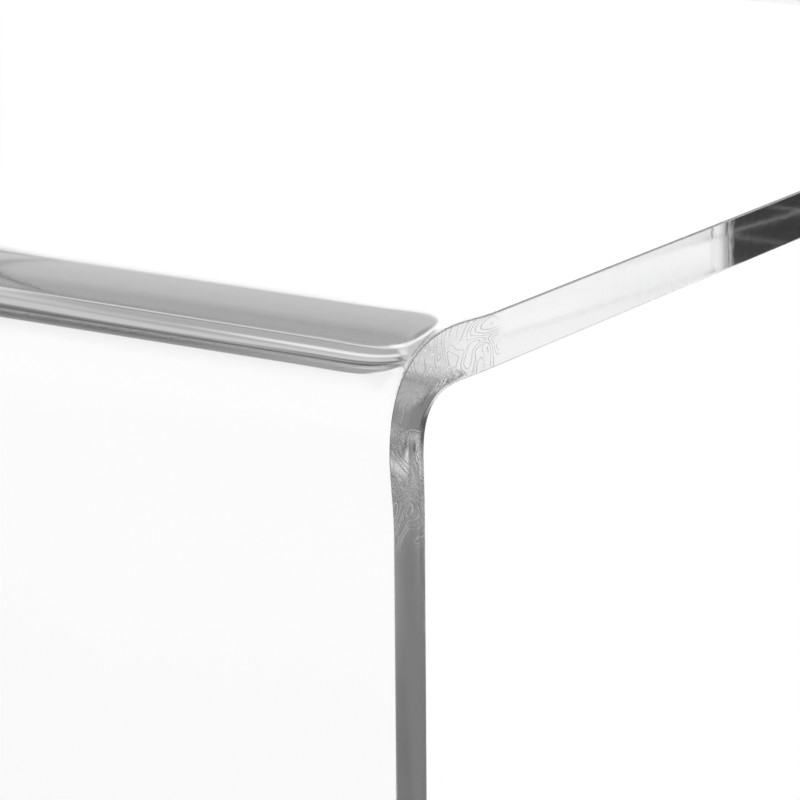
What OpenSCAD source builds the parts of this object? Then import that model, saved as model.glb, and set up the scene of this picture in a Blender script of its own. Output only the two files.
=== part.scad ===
// C-shaped end table bent from one clear acrylic sheet, on four bumper feet.
// +X points from the upright to the open side, +Y runs along the bends, +Z is up.
// The origin is on the floor, under the middle of the table.

/* [Table] */
// Depth of the top, from the upright's outer face to the free end
table_depth = 460; // [300:5:600]
// How far the base's free end stops short of the top's
base_setback = 0; // [0:5:120]
// Width of the sheet, along the bends
table_width = 440; // [200:5:550]
// Height of the top face above the floor
table_height = 600; // [450:5:750]

/* [Sheet] */
// Thickness of the acrylic sheet
sheet_thickness = 12; // [10:0.5:16]
// Flame-polished chamfer along every edge of the sheet
edge_chamfer = 0.4; // [0.2:0.1:1.2]
// Radius of the four free corners, seen from above
corner_radius = 7; // [2:0.5:30]

/* [Heat bends] */
// Length of sheet that each strip heater softens, measured at mid thickness
heated_length = 58; // [53:1:85]
// How far the side edges lift away from the bend's middle
edge_flare = 2.2; // [0:0.1:3.2]
// How far the stretched outer face draws in at the side edges
outer_draw_in = 1.8; // [0:0.1:3.2]
// How far the squeezed inner face draws in at the side edges
inner_draw_in = 0.4; // [0:0.1:1.6]
// Distance over which the edge distortion dies away into the sheet
flare_reach = 5; // [4.5:0.5:12]

/* [Bumper feet] */
// Diameter of each foot
foot_diameter = 13; // [10:0.5:22]
// Height of each foot, without its adhesive
foot_height = 3.5; // [2.5:0.5:7]
// Rounding at the bottom of each foot
foot_round = 1.2; // [0.5:0.1:1.8]
// Distance from the sheet's edges to a foot's centre
foot_inset = 22; // [18:1:60]
// Flat sheet left between the lower bend and the rear feet
foot_bend_gap = 4; // [1:0.5:20]
// Thickness of the adhesive disc over each foot
adhesive_thickness = 0.4; // [0.3:0.1:1]
// Bare rim of the foot round its adhesive disc
adhesive_margin = 0.6; // [0.3:0.1:2]

/* [Hidden] */

$fn = 64;
ACRYLIC = [0.86, 0.90, 0.92, 0.45];
RUBBER = [0.80, 0.83, 0.84, 0.8];
ADHESIVE = [0.90, 0.89, 0.84];

bend_steps = 26;
corner_steps = 6;
edge_columns = 7;
foot_round_steps = 5;

half_sheet = sheet_thickness / 2;
half_width = table_width / 2;
half_depth = table_depth / 2;
upright_x = half_sheet - half_depth;
base_z = foot_height + adhesive_thickness + half_sheet;
top_z = table_height - half_sheet;

// The heater's warmth falls off on both sides of its middle, so the bend's curvature follows
// the same bell, which runs from 0 through 1 back to 0 as u goes from -1 to 1
function warmth(u) = (1 + cos(180 * u)) / 2;

// Part of the 90 degree turn that is done by u, the integral of the bell
function turn(u) = 45 * (1 + u + sin(180 * u) / 180 * (180 / PI));

// Mid-surface of a bend that starts at the origin along +X and turns towards +Y,
// as one [x, y] point for each step
step_length = heated_length / bend_steps;
function step_u(k) = 2 * k / bend_steps - 1;
bend_path = [for (k = 0, p = [0, 0]; k <= bend_steps;
                  p = p + step_length * [cos(turn(step_u(k + 0.5))), sin(turn(step_u(k + 0.5)))],
                  k = k + 1) p];

// Distance from a bend's start to the plane of the sheet beyond it
bend_run = bend_path[bend_steps][0];

// A station is [x, z, heading, warmth, corner angle, end side]. The heading is 180 along the base,
// 90 up the upright and 0 along the top, and the sheet's outer face is on its left.
function end_station(x, z, heading, side, angle) = [x, z, heading, 0, angle, side];

function bend_station(start, heading, k) =
    let (p = bend_path[k], h = heading)
    [start[0] + p[0] * cos(h) + p[1] * sin(h),
     start[1] + p[0] * sin(h) - p[1] * cos(h),
     h - turn(step_u(k)),
     warmth(step_u(k)), 0, 0];

base_end_x = half_depth - base_setback - corner_radius;
top_end_x = half_depth - corner_radius;
lower_bend_start = [upright_x + bend_run, base_z];
upper_bend_start = [upright_x, top_z - bend_run];

stations = concat(
    [for (k = [0:corner_steps]) end_station(base_end_x, base_z, 180, -1, 90 * (1 - k / corner_steps))],
    [for (k = [0:bend_steps]) bend_station(lower_bend_start, 180, k)],
    [for (k = [0:bend_steps]) bend_station(upper_bend_start, 90, k)],
    [for (k = [0:corner_steps]) end_station(top_end_x, top_z, 0, 1, 90 * k / corner_steps)]);

// Share of the edge distortion that is left at a distance from the side edge
function edge_share(distance) =
    exp(-distance / flare_reach) * cos(distance / flare_reach * 180 / PI);

// Lift and draw-in at a station, blended from the inner face (0) to the outer face (1)
function lift(warm, outer) = edge_flare * (outer * warm + (1 - outer) * pow(warm, 2));
function draw(warm, outer) =
    outer * outer_draw_in * pow(warm, 1.5) + (1 - outer) * inner_draw_in * warm;

// A point of the bent sheet: along the heading, across the width, and out from mid thickness
function place(station, along, across, out) =
    let (h = station[2],
         share = edge_share(half_width - abs(across)),
         outer = out / sheet_thickness + 0.5,
         lifted = out + share * lift(station[3], outer),
         drawn = across - sign(across) * share * draw(station[3], outer))
    [station[0] + along * cos(h) - lifted * sin(h),
     drawn,
     station[1] + along * sin(h) + lifted * cos(h)];

// Columns of points, by their distance from the side edge, close together near that edge
columns = [for (k = [0:edge_columns]) edge_chamfer + 3 * flare_reach * pow(k / edge_columns, 1.5)];

// One row of points across a face, from the right edge (-Y) to the left edge (+Y)
function face_row(station, out) =
    let (r = corner_radius - edge_chamfer,
         along = station[5] * r * sin(station[4]),
         reach = half_width - corner_radius + r * cos(station[4]) + edge_chamfer)
    concat([for (d = columns) place(station, along, d - reach, out)],
           [for (k = [edge_columns:-1:0]) place(station, along, reach - columns[k], out)]);

function side_point(station, side, out) =
    place(station, station[5] * corner_radius * sin(station[4]),
          side * (half_width - corner_radius + corner_radius * cos(station[4])), out);

function reverse(list) = [for (k = [len(list) - 1:-1:0]) list[k]];

// The closed ring of points round the sheet's section at a station
function ring(station) =
    let (shoulder = half_sheet - edge_chamfer)
    concat(face_row(station, half_sheet),
           [side_point(station, 1, shoulder), side_point(station, 1, -shoulder)],
           reverse(face_row(station, -half_sheet)),
           [side_point(station, -1, -shoulder), side_point(station, -1, shoulder)]);

row_size = 2 * (edge_columns + 1);
ring_size = 2 * row_size + 4;

// Triangles that close one end: the outer face's chamfer, the end face and the inner chamfer
function end_faces(first) =
    let (a = first + row_size, b = first + 2 * row_size + 2)
    concat([for (k = [0:row_size - 1]) [b + 1, first + k, first + k + 1]],
           [[b + 1, a, a + 1], [b + 1, a + 1, b]],
           [for (k = [2:row_size + 1]) [a + 1, a + k, a + k + 1]]);

module acrylic_sheet() {
    last = (len(stations) - 1) * ring_size;
    walls = [for (i = [0:len(stations) - 2], j = [0:ring_size - 1])
                let (a = i * ring_size + j,
                     b = i * ring_size + (j + 1) % ring_size)
                each [[a, b, a + ring_size], [b, b + ring_size, a + ring_size]]];
    caps = concat([for (f = end_faces(0)) reverse(f)], end_faces(last));
    color(ACRYLIC)
        polyhedron(points = [for (s = stations) each ring(s)], faces = concat(walls, caps));
}

foot_centre_y = half_width - foot_inset;
rear_foot_x = upright_x + bend_run + foot_bend_gap + foot_diameter / 2;
front_foot_x = half_depth - base_setback - foot_inset;

module foot(x, y) {
    r = foot_diameter / 2;
    curve = [for (k = [0:foot_round_steps])
                let (a = 90 * k / foot_round_steps)
                [r - foot_round + foot_round * sin(a), foot_round - foot_round * cos(a)]];
    color(RUBBER)
        translate([x, y, 0])
            rotate_extrude()
                polygon(concat([[0, 0]], curve, [[r, foot_height], [0, foot_height]]));
}

module foot_front_left() {
    foot(front_foot_x, foot_centre_y);
}

module foot_front_right() {
    foot(front_foot_x, -foot_centre_y);
}

module foot_rear_left() {
    foot(rear_foot_x, foot_centre_y);
}

module foot_rear_right() {
    foot(rear_foot_x, -foot_centre_y);
}

module foot_adhesive_discs() {
    color(ADHESIVE)
        for (x = [rear_foot_x, front_foot_x], y = [-foot_centre_y, foot_centre_y])
            translate([x, y, foot_height])
                cylinder(h = adhesive_thickness, r = foot_diameter / 2 - adhesive_margin);
}

acrylic_sheet();
foot_front_left();
foot_front_right();
foot_rear_left();
foot_rear_right();
foot_adhesive_discs();
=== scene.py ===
"""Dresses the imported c-shaped end table: the heat-bent clear sheet, its feet and the studio round it.

Lengths are in metres. +X runs from the upright to the open side, +Y along the bends, +Z up from the floor.
"""

import math

import bmesh
import bpy
import numpy as np
from bpy.props import FloatProperty, FloatVectorProperty, IntProperty, PointerProperty
from mathutils import Matrix, Vector


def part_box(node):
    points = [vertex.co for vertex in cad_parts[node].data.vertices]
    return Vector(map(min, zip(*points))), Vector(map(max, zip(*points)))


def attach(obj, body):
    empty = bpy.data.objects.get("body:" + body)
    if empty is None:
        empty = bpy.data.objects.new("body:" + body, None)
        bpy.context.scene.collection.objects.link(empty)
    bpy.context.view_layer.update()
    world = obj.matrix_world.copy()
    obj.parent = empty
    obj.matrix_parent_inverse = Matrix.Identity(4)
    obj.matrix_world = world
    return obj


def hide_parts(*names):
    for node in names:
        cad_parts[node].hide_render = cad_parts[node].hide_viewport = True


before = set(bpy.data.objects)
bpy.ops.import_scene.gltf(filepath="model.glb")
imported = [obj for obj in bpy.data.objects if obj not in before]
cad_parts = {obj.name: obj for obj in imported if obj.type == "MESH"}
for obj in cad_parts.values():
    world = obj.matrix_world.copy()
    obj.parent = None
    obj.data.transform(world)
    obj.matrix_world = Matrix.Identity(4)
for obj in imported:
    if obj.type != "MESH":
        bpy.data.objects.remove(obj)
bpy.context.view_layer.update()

bl_info = {
    "name": "Bent Sheet End Table",
    "version": (1, 0, 0),
    "blender": (4, 5, 0),
    "location": "3D View > Sidebar > End Table",
    "description": "Builds the clear sheet, the feet and the studio of a c-shaped end table",
    "category": "Object",
}

FRONT_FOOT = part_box("foot_front_left")
REAR_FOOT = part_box("foot_rear_left")
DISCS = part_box("foot_adhesive_discs")
FOOT_DIAMETER = FRONT_FOOT[1].x - FRONT_FOOT[0].x

# Faces that a rounded form is divided into
CORNER_STEPS = 8
EDGE_STEPS = 4
SIDE_STEPS = 12
FOOT_ROUND_STEPS = 10
TURNED_SEGMENTS = 64
FLOOR_SEGMENTS = 96

# Columns of faces beside a side edge: how many flare reaches they cover, and how they crowd towards the edge
SPREAD_REACHES = 6
SPREAD_POWER = 1.6

# Distances from the side between which an edge's polish sets in, and those over which a bend's softened skin
# fades out into the flat parts and into the upright
POLISH_START, POLISH_FULL = 0.004, 0.001
SKIN_FADE_FLAT, SKIN_FADE_UPRIGHT = 0.01, 0.012

# Parts of a foot's radius where its hollow's flat top ends and where the hollow meets the floor, then the
# chamfer round its top and the angle from which an edge of a turned part stays sharp
HOLLOW_INNER, HOLLOW_OUTER = 0.45, 0.55
FOOT_TOP_CHAMFER = 0.0002
SHARP_ANGLE = math.radians(35)

# The camera's yaw, pitch and roll in degrees, and its place from the table's near top corner in sheet
# thicknesses
CAMERA_ANGLES = (33.13, 15.47, -0.46)
CAMERA_FROM_CORNER = (-46.53, -30.51, 14.58)
SENSOR_WIDTH = 36.0

WHITE = (1.0, 1.0, 1.0, 1.0)

# The floor's size, the distances between which it ends for light that is seen straight, and the lamp over it
FLOOR_RADIUS = 14.0
FLOOR_ENDS = (0.4, 0.9)
LAMP_SIZE = (2.4, 1.8)
LAMP_PLACE = (0.2, 0.1, 3.0)

# Light piped along the sheet is reflected many times before it leaves through an edge
PIPED_BOUNCES = 256
THROUGH_BOUNCES = 64


def length(name, description, default, **more):
    """A settable length in metres."""
    return FloatProperty(name=name, description=description, default=default, unit="LENGTH",
                         subtype="DISTANCE", precision=4, **more)


class EndTableSheet(bpy.types.PropertyGroup):
    """Sizes of the bent sheet and of its blank."""

    depth: length("Depth", "From the upright's outer face to the top's free end", 0.46)
    width: length("Width", "Along the bends", 0.44)
    height: length("Height", "Top face above the floor", 0.6)
    base_height: length("Base Height", "Underside of the base above the floor", DISCS[1].z)
    thickness: length("Thickness", "Thickness of the sheet", 0.012)
    edge_round: length("Edge Rounding", "Rounding that flame polishing leaves on every edge", 0.0004)
    corner_radius: length("Corner Radius", "Radius of the four free corners, seen from above", 0.007)
    heated_length: length("Heated Length", "Length of sheet softened for each bend", 0.058)
    edge_flare: length("Edge Flare", "How far the side edges lift away from a bend's middle", 0.0022)
    outer_draw_in: length("Outer Draw-in", "How far the stretched face draws in at the sides", 0.0018)
    inner_draw_in: length("Inner Draw-in", "How far the squeezed face draws in at the sides", 0.0004)
    flare_reach: length("Flare Reach", "Distance over which the edge distortion dies away", 0.005)
    bend_rows: IntProperty(name="Bend Rows", description="Rows of faces along each bend", default=96)
    side_columns: IntProperty(name="Side Columns", default=40,
                              description="Columns of faces beside each side edge")
    tint: FloatVectorProperty(name="Tint", description="Colour of light that passes through the acrylic",
                              subtype="COLOR", default=(0.996, 0.999, 0.999))


class EndTableFeet(bpy.types.PropertyGroup):
    """Sizes and colours of the bumper feet and their adhesive."""

    diameter: length("Diameter", "Diameter of a foot", FOOT_DIAMETER)
    height: length("Height", "Height of a foot without its adhesive", FRONT_FOOT[1].z)
    bottom_round: length("Bottom Rounding", "Rounding at the bottom of a foot", 0.0012)
    dimple: length("Dimple", "Depth of the hollow that moulding leaves under a foot", 0.00025)
    disc_diameter: length("Disc Diameter", "Diameter of an adhesive disc",
                          FOOT_DIAMETER - 2 * (FRONT_FOOT[1].x - DISCS[1].x))
    rubber: FloatVectorProperty(name="Rubber", description="Colour of the soft clear feet",
                                subtype="COLOR", default=(0.80, 0.83, 0.84))
    adhesive: FloatVectorProperty(name="Adhesive", description="Colour of the adhesive film",
                                  subtype="COLOR", default=(0.90, 0.89, 0.84))


class EndTableStage(bpy.types.PropertyGroup):
    """The floor, the light and the camera."""

    floor: FloatVectorProperty(name="Floor", description="Colour of the floor", subtype="COLOR",
                               default=(0.98, 0.98, 0.98))
    soft_light: FloatProperty(name="Soft Light", description="Even light from all round", default=0.96)
    lamp_power: FloatProperty(name="Lamp Power", description="Power of the overhead lamp", unit="POWER",
                              default=7.0)
    lens: FloatProperty(name="Lens", description="Focal length of the camera in millimetres", default=154.485)


class Wire:
    """A node's output socket, written in sums as if it were a number."""

    def __init__(self, board, socket):
        self.board, self.socket = board, socket

    def math(self, operation, *others):
        return self.board.add("ShaderNodeMath", {"operation": operation},
                              {0: self, **dict(enumerate(others, 1))})

    def __add__(self, other):
        return self.math("ADD", other)

    def __sub__(self, other):
        return self.math("SUBTRACT", other)

    def __rsub__(self, other):
        return self.math("MULTIPLY_ADD", -1, other)

    def __mul__(self, other):
        return self.math("MULTIPLY", other)

    def __truediv__(self, other):
        return self.math("DIVIDE", other)

    def __rtruediv__(self, other):
        return self.math("POWER", -1) * other

    def __pow__(self, other):
        return self.math("POWER", other)

    def __neg__(self):
        return self.math("MULTIPLY", -1)

    def __gt__(self, other):
        return self.math("GREATER_THAN", other)

    def __lt__(self, other):
        return self.math("LESS_THAN", other)

    __radd__, __rmul__ = __add__, __mul__

    def output(self, name):
        """Another output of the same node."""
        return Wire(self.board, self.socket.node.outputs[name])


class Board:
    """Adds nodes to one node tree."""

    def __init__(self, tree):
        self.tree = tree

    def add(self, kind, settings=None, sockets=None, output=0):
        """A new node: its settings first, then the values or links of its sockets."""
        node = self.tree.nodes.new(kind)
        for name, value in (settings or {}).items():
            setattr(node, name, value)
        for key, value in (sockets or {}).items():
            if isinstance(value, Wire):
                self.tree.links.new(value.socket, node.inputs[key])
            else:
                node.inputs[key].default_value = value
        return Wire(self, node.outputs[output]) if len(node.outputs) else node

    def step(self, value, low, high):
        """0 below low, 1 above high and a smooth slope between them."""
        return self.add("ShaderNodeMapRange", {"interpolation_type": "SMOOTHSTEP"},
                        {"Value": value, "From Min": low, "From Max": high})

    def blend(self, share, first, second):
        """Two numbers or colours mixed, with the second one's share."""
        return self.add("ShaderNodeMix", {"data_type": "RGBA"},
                        {"Factor": share, "A": first, "B": second}, "Result")

    def inputs(self, name):
        """A named input of a geometry tree."""
        return Wire(self, self.entry.outputs[name])


def geometry_tree(name, numbers):
    """A geometry node tree with a geometry, named lengths and a material for its inputs."""
    tree = bpy.data.node_groups.new(name, "GeometryNodeTree")
    tree.interface.new_socket("Geometry", in_out="INPUT", socket_type="NodeSocketGeometry")
    for number in numbers:
        socket = tree.interface.new_socket(number, in_out="INPUT", socket_type="NodeSocketFloat")
        socket.subtype = "DISTANCE"
    tree.interface.new_socket("Material", in_out="INPUT", socket_type="NodeSocketMaterial")
    tree.interface.new_socket("Geometry", in_out="OUTPUT", socket_type="NodeSocketGeometry")
    board = Board(tree)
    board.entry = tree.nodes.new("NodeGroupInput")
    return board


def close_tree(board, geometry):
    """Ends a geometry tree in plain geometry with its material."""
    plain = board.add("GeometryNodeRealizeInstances", sockets={"Geometry": geometry})
    dressed = board.add("GeometryNodeSetMaterial",
                        sockets={"Geometry": plain, "Material": board.inputs("Material")})
    board.add("NodeGroupOutput", sockets={"Geometry": dressed})
    return board.tree


def run_tree(piece, tree, values):
    """Runs a geometry tree on a piece and leaves the result as its plain mesh."""
    modifier = piece.modifiers.new(tree.name, "NODES")
    modifier.node_group = tree
    for item in tree.interface.items_tree:
        if item.in_out == "INPUT" and item.name in values:
            modifier[item.identifier] = values[item.name]
    graph = bpy.context.evaluated_depsgraph_get()
    made = bpy.data.meshes.new_from_object(piece.evaluated_get(graph), depsgraph=graph)
    piece.modifiers.remove(modifier)
    raw, piece.data = piece.data, made
    bpy.data.meshes.remove(raw)
    made.name = piece.name
    return piece


def new_piece(name, mesh):
    piece = bpy.data.objects.new(name, mesh)
    bpy.context.scene.collection.objects.link(piece)
    return piece


def empty_material(name):
    """A material with nothing in it but its output."""
    material = bpy.data.materials.new(name)
    material.use_nodes = True
    material.node_tree.nodes.clear()
    return material, Board(material.node_tree)


def finish_material(board, shader):
    board.add("ShaderNodeOutputMaterial", sockets={"Surface": shader})


def clear_acrylic(sheet):
    """Cast acrylic: flame ripples in its polished edges, a softened skin where it was bent, slight waves."""
    material, board = empty_material("clear_acrylic")
    place = board.add("ShaderNodeTexCoord", output="Object")
    part = board.add("ShaderNodeSeparateXYZ", sockets={"Vector": place})
    x, y, z = part, part.output("Y"), part.output("Z")
    middle = (sheet.height + sheet.base_height) / 2
    half = (sheet.height - sheet.base_height) / 2
    reach = bends(sheet)[2]
    edge = board.step(y.math("ABSOLUTE"), sheet.width / 2 - POLISH_START, sheet.width / 2 - POLISH_FULL)
    back = 1 - board.step(x, reach - sheet.depth / 2, reach + SKIN_FADE_FLAT - sheet.depth / 2)
    bend = back * board.step((z - middle).math("ABSOLUTE"), half - reach - SKIN_FADE_UPRIGHT, half - reach)
    polish = board.add("ShaderNodeTexNoise", {"noise_dimensions": "3D"},
                       {"Vector": place, "Scale": 140.0, "Detail": 2.0, "Roughness": 0.45, "Distortion": 0.6})
    cast = board.add("ShaderNodeTexNoise", {"noise_dimensions": "3D"},
                     {"Vector": place, "Scale": 9.0, "Detail": 1.0})
    flow = board.add("ShaderNodeTexNoise", {"noise_dimensions": "3D"},
                     {"Vector": place, "Scale": 85.0, "Detail": 0.0, "Distortion": 1.6})
    swirls = 1 - board.step((flow * 9).math("PINGPONG", 0.5), 0.0, 0.15)
    ripple = edge * (polish * (0.25 + 0.75 * bend) + swirls * bend * 0.5) + cast * 0.4
    bump = board.add("ShaderNodeBump", sockets={"Strength": 0.12, "Distance": 0.0004, "Height": ripple},
                     output="Normal")
    shader = board.add("ShaderNodeBsdfPrincipled", sockets={
        "Base Color": (*sheet.tint, 1.0), "Roughness": 0.02 + edge * (0.008 * polish + 0.11 * bend),
        "IOR": 1.49, "Transmission Weight": 1.0, "Normal": bump})
    finish_material(board, shader)
    return material


def clear_rubber(colour):
    """Soft clear polyurethane with a slight cloud in it and a moulded skin."""
    material, board = empty_material("clear_rubber")
    place = board.add("ShaderNodeTexCoord", output="Object")
    cloud = board.add("ShaderNodeTexNoise", sockets={"Vector": place, "Scale": 240.0, "Detail": 3.0})
    skin = board.add("ShaderNodeTexNoise", sockets={"Vector": place, "Scale": 2600.0, "Detail": 2.0})
    milky = tuple(c * 0.88 for c in colour)
    bump = board.add("ShaderNodeBump", sockets={"Strength": 0.25, "Distance": 0.00008, "Height": skin},
                     output="Normal")
    shader = board.add("ShaderNodeBsdfPrincipled", sockets={
        "Base Color": board.blend(board.step(cloud, 0.35, 0.7), (*milky, 1.0), (*colour, 1.0)),
        "Roughness": 0.18 + cloud * 0.16, "IOR": 1.5, "Transmission Weight": 0.75, "Normal": bump})
    finish_material(board, shader)
    return material


def foot_adhesive(colour):
    """Milky adhesive film with patches that haven't wetted the sheet."""
    material, board = empty_material("foot_adhesive")
    place = board.add("ShaderNodeTexCoord", output="Object")
    patches = board.add("ShaderNodeTexNoise", sockets={"Vector": place, "Scale": 700.0, "Detail": 4.0})
    bubbles = board.add("ShaderNodeTexVoronoi", {"feature": "F1"},
                        {"Vector": place, "Scale": 900.0}, "Distance")
    dry = board.step(patches, 0.5, 0.62) * (1 - board.step(bubbles, 0.15, 0.4) * 0.5)
    darker = tuple(c * 0.8 for c in colour)
    shader = board.add("ShaderNodeBsdfPrincipled", sockets={
        "Base Color": board.blend(dry, (*darker, 1.0), (*colour, 1.0)),
        "Roughness": 0.35 + dry * 0.3, "IOR": 1.47, "Transmission Weight": 0.35,
        "Normal": board.add("ShaderNodeBump", sockets={"Strength": 0.3, "Distance": 0.0001, "Height": dry},
                            output="Normal")})
    finish_material(board, shader)
    return material


def bends(sheet):
    """Flat lengths of the base, the upright and the top, and how far one bend reaches."""
    steps = 4000
    middle = (np.arange(steps) + 0.5) / steps * 2 - 1
    turned = math.pi / 4 * (1 + middle + np.sin(math.pi * middle) / math.pi)
    run = float(np.cos(turned).sum() * sheet.heated_length / steps)
    flat = sheet.depth - sheet.thickness / 2 - run
    upright = sheet.height - sheet.base_height - sheet.thickness - 2 * run
    return flat, upright, run


def sheet_blank(sheet):
    """The sheet before bending: x is the distance along it from the base's free end, y across, z out."""
    flat, upright, _ = bends(sheet)
    total = 2 * flat + upright + 2 * sheet.heated_length
    half, wide = sheet.thickness / 2, sheet.width / 2
    corner, rounding = sheet.corner_radius, sheet.edge_round
    quarter = [math.pi / 2 * k / CORNER_STEPS for k in range(CORNER_STEPS + 1)]
    rows = [(corner, -1, a) for a in reversed(quarter)] + [(corner + rounding, 0, 0.0)]
    for start in (flat, flat + sheet.heated_length + upright):
        rows += [(start + sheet.heated_length * k / sheet.bend_rows, 0, 0.0)
                 for k in range(sheet.bend_rows + 1)]
    rows += [(total - corner - rounding, 0, 0.0)] + [(total - corner, 1, a) for a in quarter]

    arc = [math.pi / 2 * k / EDGE_STEPS for k in range(EDGE_STEPS + 1)]
    edge = [(rounding * (1 - math.sin(a)), half - rounding * (1 - math.cos(a))) for a in arc]
    shoulder = half - rounding
    edge += [(0.0, shoulder * (1 - 2 * k / SIDE_STEPS)) for k in range(1, SIDE_STEPS)]
    edge += [(inset, -out) for inset, out in reversed(edge[:EDGE_STEPS + 1])]
    inner_edge = edge[1:-1]
    count = sheet.side_columns
    spread = [SPREAD_REACHES * sheet.flare_reach * (k / count) ** SPREAD_POWER for k in range(count + 1)]

    points, rings = [], []

    def corner_point(row, inset, out, side, away=0.0):
        """Adds a point of a row, which holds its distance, its end's side and its corner angle."""
        along = row[1] * (corner - inset) * math.sin(row[2])
        reach = wide - corner + (corner - inset) * math.cos(row[2]) - away
        points.append((row[0] + along, side * reach, out))
        return len(points) - 1

    def face_row(row, out):
        return ([corner_point(row, rounding, out, -1, d) for d in spread]
                + [corner_point(row, rounding, out, 1, d) for d in reversed(spread)])

    for row in rows:
        outer = face_row(row, half)
        left = [corner_point(row, inset, out, 1) for inset, out in inner_edge]
        inner = face_row(row, -half)
        right = [corner_point(row, inset, out, -1) for inset, out in inner_edge]
        rings.append(outer + left + inner[::-1] + right[::-1])
    ring = len(rings[0])
    faces = [(a[j], a[(j + 1) % ring], b[(j + 1) % ring], b[j])
             for a, b in zip(rings, rings[1:]) for j in range(ring)]

    row_size = 2 * (count + 1)
    for row, start, facing in ((rows[0], rings[0], 1), (rows[-1], rings[-1], -1)):
        side = len(inner_edge)
        left = start[row_size:row_size + side]
        right = start[2 * row_size + side:][::-1]
        lines = [start[:row_size]]
        for k, (inset, out) in enumerate(inner_edge):
            between = [corner_point(row, inset, out, -1, d) for d in spread[1:]]
            between += [corner_point(row, inset, out, 1, d) for d in reversed(spread[1:])]
            lines.append([right[k], *between, left[k]])
        lines.append(start[row_size + side:2 * row_size + side][::-1])
        for upper, lower in zip(lines, lines[1:]):
            for j in range(row_size - 1):
                quad = (upper[j], lower[j], lower[j + 1], upper[j + 1])
                faces.append(quad if facing > 0 else quad[::-1])

    mesh = bpy.data.meshes.new("acrylic_sheet")
    mesh.from_pydata(points, [], faces)
    build = bmesh.new()
    build.from_mesh(mesh)
    bmesh.ops.recalc_face_normals(build, faces=build.faces)
    for face in build.faces:
        face.smooth = True

    def kind(face):
        """Which of the flat faces this is on the blank, or none for the rounding between them."""
        normal = face.normal
        if abs(normal.z) > 0.999:
            return "face"
        return "side" if abs(normal.z) < 0.001 else "rounding"

    for line in build.edges:
        line.smooth = kind(line.link_faces[0]) == kind(line.link_faces[1])
    build.to_mesh(mesh)
    build.free()
    return mesh


SHEET_SIZES = ("Sheet Width", "Sheet Thickness", "Heated Length", "Flat Length", "Upright Length",
               "Start X", "Start Z", "Edge Flare", "Outer Draw-in", "Inner Draw-in", "Flare Reach")


def bending_tree():
    """Bends a flat blank twice through a right angle, with the curvature of a strip-heated bend."""
    board = geometry_tree("Bend Sheet", SHEET_SIZES)
    get, add = board.inputs, board.add
    heated, flat, upright = get("Heated Length"), get("Flat Length"), get("Upright Length")

    def bend_share(distance, start):
        """-1 at the start of a heated band, 1 at its end, and held at those beyond them."""
        share = (distance - start) / heated * 2 - 1
        return add("ShaderNodeClamp", sockets={"Value": share, "Min": -1.0, "Max": 1.0})

    def turned(share):
        return (1 + share + (share * math.pi).math("SINE") / math.pi) * (math.pi / 4)

    def shares(distance):
        return bend_share(distance, flat), bend_share(distance, flat + heated + upright)

    def heading(distance):
        first, second = shares(distance)
        return math.pi - turned(first) - turned(second)

    steps = 12000
    step = (flat * 2 + upright + heated * 2) / steps
    line = add("GeometryNodeMeshLine", sockets={"Count": steps + 1, "Offset": (1.0, 0.0, 0.0)})
    here = heading((add("GeometryNodeInputIndex") + 0.5) * step)
    stride = add("ShaderNodeCombineXYZ", sockets={
        "X": here.math("COSINE") * step, "Z": here.math("SINE") * step})
    gone = add("GeometryNodeAccumulateField", {"data_type": "FLOAT_VECTOR"}, {"Value": stride}, "Trailing")
    begin = add("ShaderNodeCombineXYZ", sockets={"X": get("Start X"), "Z": get("Start Z")})
    spot = add("ShaderNodeVectorMath", {"operation": "ADD"}, {0: begin, 1: gone})
    path = add("GeometryNodeMeshToCurve", sockets={
        "Mesh": add("GeometryNodeSetPosition", sockets={"Geometry": line, "Position": spot})})

    blank = add("ShaderNodeSeparateXYZ", sockets={"Vector": add("GeometryNodeInputPosition")})
    distance, across, out = blank, blank.output("Y"), blank.output("Z")
    on_path = add("GeometryNodeSampleCurve", {"mode": "LENGTH"}, {"Curves": path, "Length": distance},
                  "Position")
    middle = add("ShaderNodeSeparateXYZ", sockets={"Vector": on_path})
    first, second = shares(distance)
    warm = ((first * math.pi).math("COSINE") + (second * math.pi).math("COSINE")) / 2 + 1
    outer = out / get("Sheet Thickness") + 0.5
    from_edge = (get("Sheet Width") / 2 - across.math("ABSOLUTE")).math("MAXIMUM", 0.0) / get("Flare Reach")
    share = (-from_edge).math("EXPONENT") * from_edge.math("COSINE")
    lift = get("Edge Flare") * (outer * warm + (1 - outer) * warm ** 2)
    draw = outer * get("Outer Draw-in") * warm ** 1.5 + (1 - outer) * get("Inner Draw-in") * warm
    lifted = out + share * lift
    there = heading(distance)
    bent = add("ShaderNodeCombineXYZ", sockets={
        "X": middle - lifted * there.math("SINE"),
        "Y": across - across.math("SIGN") * share * draw,
        "Z": middle.output("Z") + lifted * there.math("COSINE")})
    return close_tree(board, add("GeometryNodeSetPosition", sockets={
        "Geometry": get("Geometry"), "Position": bent}))


def repeating_tree():
    """Sets one small part at each corner of a rectangle."""
    board = geometry_tree("Repeat At Corners", ("Spacing X", "Spacing Y", "Middle X"))
    get, add = board.inputs, board.add
    corners = add("GeometryNodeMeshGrid", sockets={
        "Size X": get("Spacing X"), "Size Y": get("Spacing Y"), "Vertices X": 2, "Vertices Y": 2})
    moved = add("GeometryNodeSetPosition", sockets={
        "Geometry": corners, "Offset": add("ShaderNodeCombineXYZ", sockets={"X": get("Middle X")})})
    return close_tree(board, add("GeometryNodeInstanceOnPoints", sockets={
        "Points": moved, "Instance": get("Geometry")}))


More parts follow.
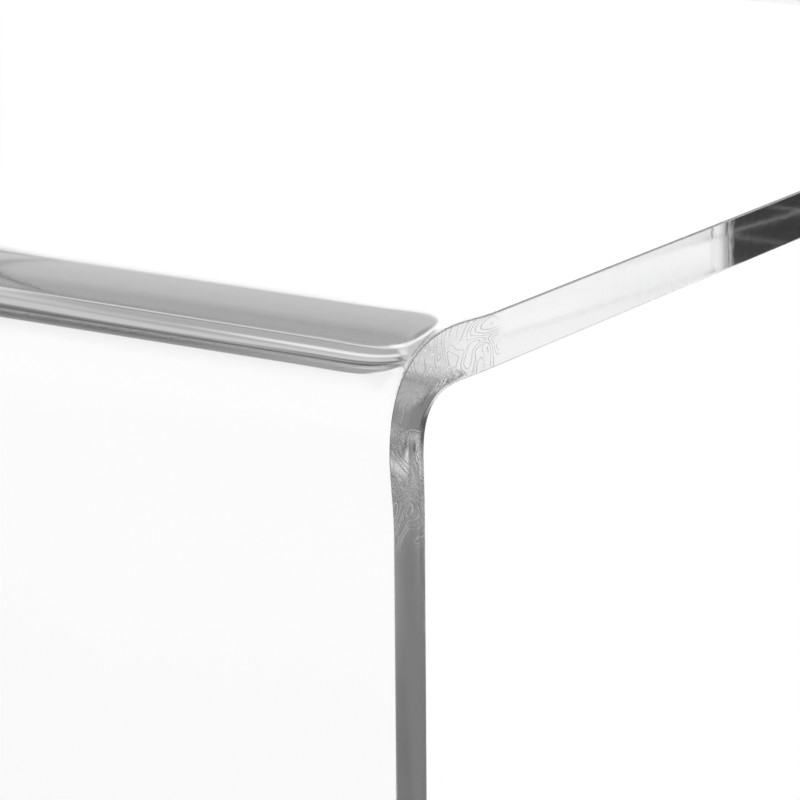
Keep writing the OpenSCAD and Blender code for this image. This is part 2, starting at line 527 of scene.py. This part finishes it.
def turned_part(name, outline):
    """A closed round part from its outline of radii and heights, from the bottom's centre to the top's."""
    build = bmesh.new()
    points = [build.verts.new((radius, 0.0, height)) for radius, height in outline]
    lines = [build.edges.new(pair) for pair in zip(points, points[1:])]
    bmesh.ops.spin(build, geom=points + lines, cent=(0, 0, 0), axis=(0, 0, 1), angle=math.tau,
                   steps=TURNED_SEGMENTS, use_merge=True)
    bmesh.ops.remove_doubles(build, verts=build.verts, dist=1e-7)
    bmesh.ops.recalc_face_normals(build, faces=build.faces)
    for face in build.faces:
        face.smooth = True
    for line in build.edges:
        line.smooth = len(line.link_faces) == 2 and line.calc_face_angle(0.0) < SHARP_ANGLE
    mesh = bpy.data.meshes.new(name)
    build.to_mesh(mesh)
    build.free()
    return mesh


def corner_values():
    """Where the four feet stand."""
    front = (FRONT_FOOT[0] + FRONT_FOOT[1]) / 2
    rear = (REAR_FOOT[0] + REAR_FOOT[1]) / 2
    return {"Spacing X": front.x - rear.x, "Spacing Y": 2 * front.y, "Middle X": (front.x + rear.x) / 2}


class ENDTABLE_OT_sheet(bpy.types.Operator):
    """Make the clear sheet: cut the blank, bend it and dress it"""

    bl_idname = "endtable.sheet"
    bl_label = "Bent Sheet"

    def execute(self, context):
        sheet = context.scene.end_table_sheet
        flat, upright, _ = bends(sheet)
        piece = new_piece("bent_sheet", sheet_blank(sheet))
        material = clear_acrylic(sheet)
        run_tree(piece, bending_tree(), {
            "Sheet Width": sheet.width, "Sheet Thickness": sheet.thickness,
            "Heated Length": sheet.heated_length, "Flat Length": flat, "Upright Length": upright,
            "Start X": sheet.depth / 2,
            "Start Z": sheet.base_height + sheet.thickness / 2, "Edge Flare": sheet.edge_flare,
            "Outer Draw-in": sheet.outer_draw_in, "Inner Draw-in": sheet.inner_draw_in,
            "Flare Reach": sheet.flare_reach, "Material": material})
        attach(piece, "root")
        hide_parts("acrylic_sheet")
        return {"FINISHED"}


class ENDTABLE_OT_feet(bpy.types.Operator):
    """Make the four bumper feet under the base"""

    bl_idname = "endtable.feet"
    bl_label = "Bumper Feet"

    def execute(self, context):
        feet = context.scene.end_table_feet
        radius, rounding = feet.diameter / 2, feet.bottom_round
        quarter = [math.pi / 2 * k / FOOT_ROUND_STEPS for k in range(FOOT_ROUND_STEPS + 1)]
        outline = [(0.0, feet.dimple), (radius * HOLLOW_INNER, feet.dimple), (radius * HOLLOW_OUTER, 0.0)]
        outline += [(radius - rounding * (1 - math.sin(a)), rounding * (1 - math.cos(a))) for a in quarter]
        outline += [(radius, feet.height - FOOT_TOP_CHAMFER), (radius - FOOT_TOP_CHAMFER, feet.height),
                    (0.0, feet.height)]
        piece = new_piece("bumper_feet", turned_part("bumper_feet", outline))
        run_tree(piece, repeating_tree(), {**corner_values(), "Material": clear_rubber(feet.rubber)})
        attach(piece, "root")
        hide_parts("foot_front_left", "foot_front_right", "foot_rear_left", "foot_rear_right")
        return {"FINISHED"}


class ENDTABLE_OT_adhesive(bpy.types.Operator):
    """Make the adhesive discs between the feet and the base"""

    bl_idname = "endtable.adhesive"
    bl_label = "Adhesive Discs"

    def execute(self, context):
        feet = context.scene.end_table_feet
        radius, low, high = feet.disc_diameter / 2, DISCS[0].z, DISCS[1].z
        bulge = (high - low) / 4
        outline = [(0.0, low), (radius - bulge, low), (radius, (low + high) / 2),
                   (radius - bulge, high), (0.0, high)]
        piece = new_piece("adhesive_discs", turned_part("adhesive_discs", outline))
        run_tree(piece, repeating_tree(), {**corner_values(), "Material": foot_adhesive(feet.adhesive)})
        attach(piece, "root")
        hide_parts("foot_adhesive_discs")
        return {"FINISHED"}


# The studio as the sheet shows it, each part laid over the ones before it. A part runs from a first to a last
# angle round to the left of straight ahead, and from a lowest to a highest angle above level, each pair
# followed by how soft its edges are. The last number is its brightness, where 1 is white. Angles are in
# degrees, and straight ahead is AHEAD degrees round from +X.
AHEAD = 33
BELOW_LEVEL, ABOVE_LEVEL, LEVEL_SOFTNESS = 0.31, 0.47, 10
BEHIND, BEHIND_STARTS, BEHIND_FULL = 0.44, 132.5, 147.5
INSIDE_STUDIO = {
    "backdrop": (-72, -1.6, 1.2, -1.5, 13.6, 0.9, 1.1),
    "rim of backdrop": (-7.7, 0.6, 3.1, 13.5, 18, 0.7, 0.99),
    "upper backdrop": (-5.8, 0.2, 2.2, 19.2, 32.3, 1.1, 0.86),
    "low strip": (-47, 0.3, 1, -16.6, -5.9, 0.6, 0.92),
    "gap in strip": (-12.2, -5, 1, -12.3, -1.8, 0.8, 0.25),
    "tall backdrop": (-61.2, -24.4, 2.8, -41.6, 40.9, 1.8, 1.15),
    "lower backdrop": (-11.5, -4.5, 1.5, -31, -17, 2, 0.78),
    "dark floor": (-3.1, 9.6, 4.6, -40.3, -17, 1, 0.08),
    "wall above backdrop": (-1.7, 14.5, 1.7, 15.5, 41.9, 0.9, 0.16),
    "left wall": (18.5, 71.1, 4.5, -67.2, 74.5, 5.7, 0.17),
    "window frame": (0.6, 18.4, 1.8, 28.4, 40, 0.9, 0.63),
    "window pane": (-2.4, 12.4, 1.1, 16.5, 35.2, 1.5, 0.48),
    "side of sash": (8.8, 11.6, 1.4, 18, 30.2, 1.2, 0.58),
    "top of sash": (-2.1, 8.4, 1.4, 28.6, 33.5, 1.8, 0.94),
    "side of backdrop": (7, 59.6, 1.1, -19.6, 17.2, 0.9, 0.91),
    "shade beside backdrop": (34.1, 85.9, 16.6, -24.1, 22.2, 1, 0.01),
    "left flag": (67.9, 107, 2.5, -24.3, -2, 2.6, 0.0),
    "gap behind left flag": (113.8, 122, 1.5, -13.2, -7, 1, 0.39),
    "lower left flag": (99.6, 114.5, 1.3, -31.3, -19.2, 1.9, 0.01),
    "rear left flag": (112.9, 140.4, 6.1, -17.3, 16.9, 0.7, 0.0),
    "right flag": (-117.5, -70, 1.2, -36.8, 23.2, 5, 0.0),
    "gap at the horizon": (1.9, 15, 1.9, -7.8, -2.6, 3.1, 0.01),
    "high flag": (-18.6, 30.3, 1.7, 43.6, 47.9, 2.6, 0.0),
    "corner of backdrop": (-1.6, 8.2, 1.4, 11.6, 14, 0.4, 0.92),
    "fading side of backdrop": (34, 56.5, 2.5, 11.6, 14.5, 0.5, 0.47),
}
OUTSIDE_STUDIO = {
    "bright backdrop": (-30.2, 26.6, 4.8, 6.8, 17.2, 1.6, 1.42),
    "dim side of backdrop": (7.3, 27.1, 1, 2, 17, 1.1, 0.21),
    "high flag": (10.6, 88.6, 7.2, 38.5, 57.8, 6.2, 0.01),
    "right flag": (-61.7, -53.3, 2, -19.3, 7.6, 1.8, 0.02),
}


def studio_tones(board, direction):
    """How bright the studio is towards a direction, for light piped in the sheet and light off its faces."""
    part = board.add("ShaderNodeSeparateXYZ", sockets={"Vector": direction})
    x, y, z = part, part.output("Y"), part.output("Z")
    facing = math.radians(AHEAD)
    ahead = x * math.cos(facing) + y * math.sin(facing)
    leftward = y * math.cos(facing) - x * math.sin(facing)
    round_ = leftward.math("ARCTAN2", ahead) * (180 / math.pi)
    rise = z.math("MINIMUM", 1.0).math("MAXIMUM", -1.0).math("ARCSINE") * (180 / math.pi)

    def between(value, low, high, soft):
        above_low = board.step(value, low - soft, low + soft)
        return above_low * (1 - board.step(value, high - soft, high + soft))

    def dressed(tone, parts):
        for first, last, side, low, high, edge, level in parts.values():
            share = between(round_, first, last, side) * between(rise, low, high, edge)
            tone = tone + (level - tone) * share
        return tone

    plain = BELOW_LEVEL + (ABOVE_LEVEL - BELOW_LEVEL) * board.step(rise, -LEVEL_SOFTNESS, LEVEL_SOFTNESS)
    inside = dressed(plain, INSIDE_STUDIO)
    behind = board.step(round_.math("ABSOLUTE"), BEHIND_STARTS, BEHIND_FULL)
    return inside + (BEHIND - inside) * behind, dressed(1.0, OUTSIDE_STUDIO)


def light_paths(board):
    """Masks for light seen straight or through the sheet, light piped inside it, and light off its faces."""
    light = board.add("ShaderNodeLightPath", output="Is Camera Ray")
    seen = light.output("Diffuse Depth") < 0.5
    bounced = (light.output("Glossy Depth") > 0.5) * seen
    inside = light.output("Transmission Depth") > 0.5
    straight = light.math("MAXIMUM", light.output("Is Transmission Ray")) * seen * (1 - bounced)
    return straight, bounced * inside, bounced * (1 - inside)


class ENDTABLE_OT_stage(bpy.types.Operator):
    """Set up the floor, the soft light and the camera"""

    bl_idname = "endtable.stage"
    bl_label = "Stage"

    def execute(self, context):
        stage, scene = context.scene.end_table_stage, context.scene
        self.floor(stage)
        self.light(scene, stage)
        self.camera(scene, stage)
        scene.view_settings.view_transform = "Standard"
        # A glossy filter would darken the floor under the clear base
        scene.cycles.blur_glossy = 0.0
        scene.cycles.max_bounces = PIPED_BOUNCES
        scene.cycles.glossy_bounces = PIPED_BOUNCES
        scene.cycles.transmission_bounces = THROUGH_BOUNCES
        return {"FINISHED"}

    def floor(self, stage):
        build = bmesh.new()
        bmesh.ops.create_circle(build, cap_ends=True, segments=FLOOR_SEGMENTS, radius=FLOOR_RADIUS)
        mesh = bpy.data.meshes.new("floor")
        build.to_mesh(mesh)
        build.free()
        floor = new_piece("floor", mesh)
        material, board = empty_material("studio_floor")
        place = board.add("ShaderNodeTexCoord", output="Object")
        distance = board.add("ShaderNodeVectorMath", {"operation": "LENGTH"}, {0: place}, "Value")
        straight, piped, outer = light_paths(board)
        painted = board.add("ShaderNodeBsdfDiffuse", sockets={"Color": (*stage.floor, 1.0)})
        open_ = board.add("ShaderNodeBsdfTransparent")
        share = piped + outer + straight * board.step(distance, *FLOOR_ENDS)
        finish_material(board, board.add("ShaderNodeMixShader", sockets={0: share, 1: painted, 2: open_}))
        mesh.materials.append(material)

    def light(self, scene, stage):
        world = bpy.data.worlds.new("studio")
        scene.world = world
        world.use_nodes = True
        world.node_tree.nodes.clear()
        board = Board(world.node_tree)
        direction = board.add("ShaderNodeTexCoord", output="Generated")
        straight, piped, outer = light_paths(board)
        inside, outside = studio_tones(board, direction)
        scattered = 1 - straight - piped - outer
        level = straight + piped * inside + outer * outside + scattered * stage.soft_light
        even = board.add("ShaderNodeBackground", sockets={"Color": WHITE, "Strength": level})
        board.add("ShaderNodeOutputWorld", sockets={"Surface": even})
        lamp = bpy.data.lights.new("overhead_lamp", "AREA")
        lamp.shape = "RECTANGLE"
        lamp.size, lamp.size_y = LAMP_SIZE
        lamp.energy = stage.lamp_power
        lamp_object = bpy.data.objects.new("overhead_lamp", lamp)
        lamp_object.location = LAMP_PLACE
        lamp_object.visible_glossy = False
        lamp_object.visible_transmission = False
        scene.collection.objects.link(lamp_object)

    def camera(self, scene, stage):
        yaw, pitch, roll = (math.radians(a) for a in CAMERA_ANGLES)
        forward = Vector((math.cos(yaw) * math.cos(pitch), math.sin(yaw) * math.cos(pitch),
                          -math.sin(pitch)))
        level = Vector((math.sin(yaw), -math.cos(yaw), 0.0))
        above = level.cross(forward)
        right = level * math.cos(roll) + above * math.sin(roll)
        up = above * math.cos(roll) - level * math.sin(roll)
        data = bpy.data.cameras.new("camera")
        data.sensor_width, data.lens = SENSOR_WIDTH, stage.lens
        data.clip_start, data.clip_end = 0.05, 60.0
        camera = bpy.data.objects.new("camera", data)
        camera.matrix_world = Matrix((right, up, -forward)).transposed().to_4x4()
        sheet = scene.end_table_sheet
        corner = Vector((-sheet.depth / 2, -sheet.width / 2, sheet.height))
        camera.location = corner + Vector(CAMERA_FROM_CORNER) * sheet.thickness
        scene.collection.objects.link(camera)
        scene.camera = camera


class ENDTABLE_PT_sidebar(bpy.types.Panel):
    """Lists the steps that build the end table"""

    bl_idname = "ENDTABLE_PT_sidebar"
    bl_label = "End Table"
    bl_space_type = "VIEW_3D"
    bl_region_type = "UI"
    bl_category = "End Table"

    def draw(self, context):
        for step in STEPS:
            self.layout.operator(step.bl_idname)
        for name in SETTINGS:
            group = getattr(context.scene, name)
            box = self.layout.box()
            for prop in group.bl_rna.properties:
                if not prop.is_readonly and prop.identifier != "name":
                    box.prop(group, prop.identifier)


STEPS = (ENDTABLE_OT_stage, ENDTABLE_OT_sheet, ENDTABLE_OT_feet, ENDTABLE_OT_adhesive)
SETTINGS = {"end_table_sheet": EndTableSheet, "end_table_feet": EndTableFeet,
            "end_table_stage": EndTableStage}
CLASSES = (*SETTINGS.values(), *STEPS, ENDTABLE_PT_sidebar)


def register():
    for item in CLASSES:
        bpy.utils.register_class(item)
    for name, group in SETTINGS.items():
        setattr(bpy.types.Scene, name, PointerProperty(type=group))


def unregister():
    for name in SETTINGS:
        delattr(bpy.types.Scene, name)
    for item in reversed(CLASSES):
        bpy.utils.unregister_class(item)


def main():
    register()
    for step in STEPS:
        group, name = step.bl_idname.split(".")
        getattr(getattr(bpy.ops, group), name)()


if __name__ == "__main__":
    main()
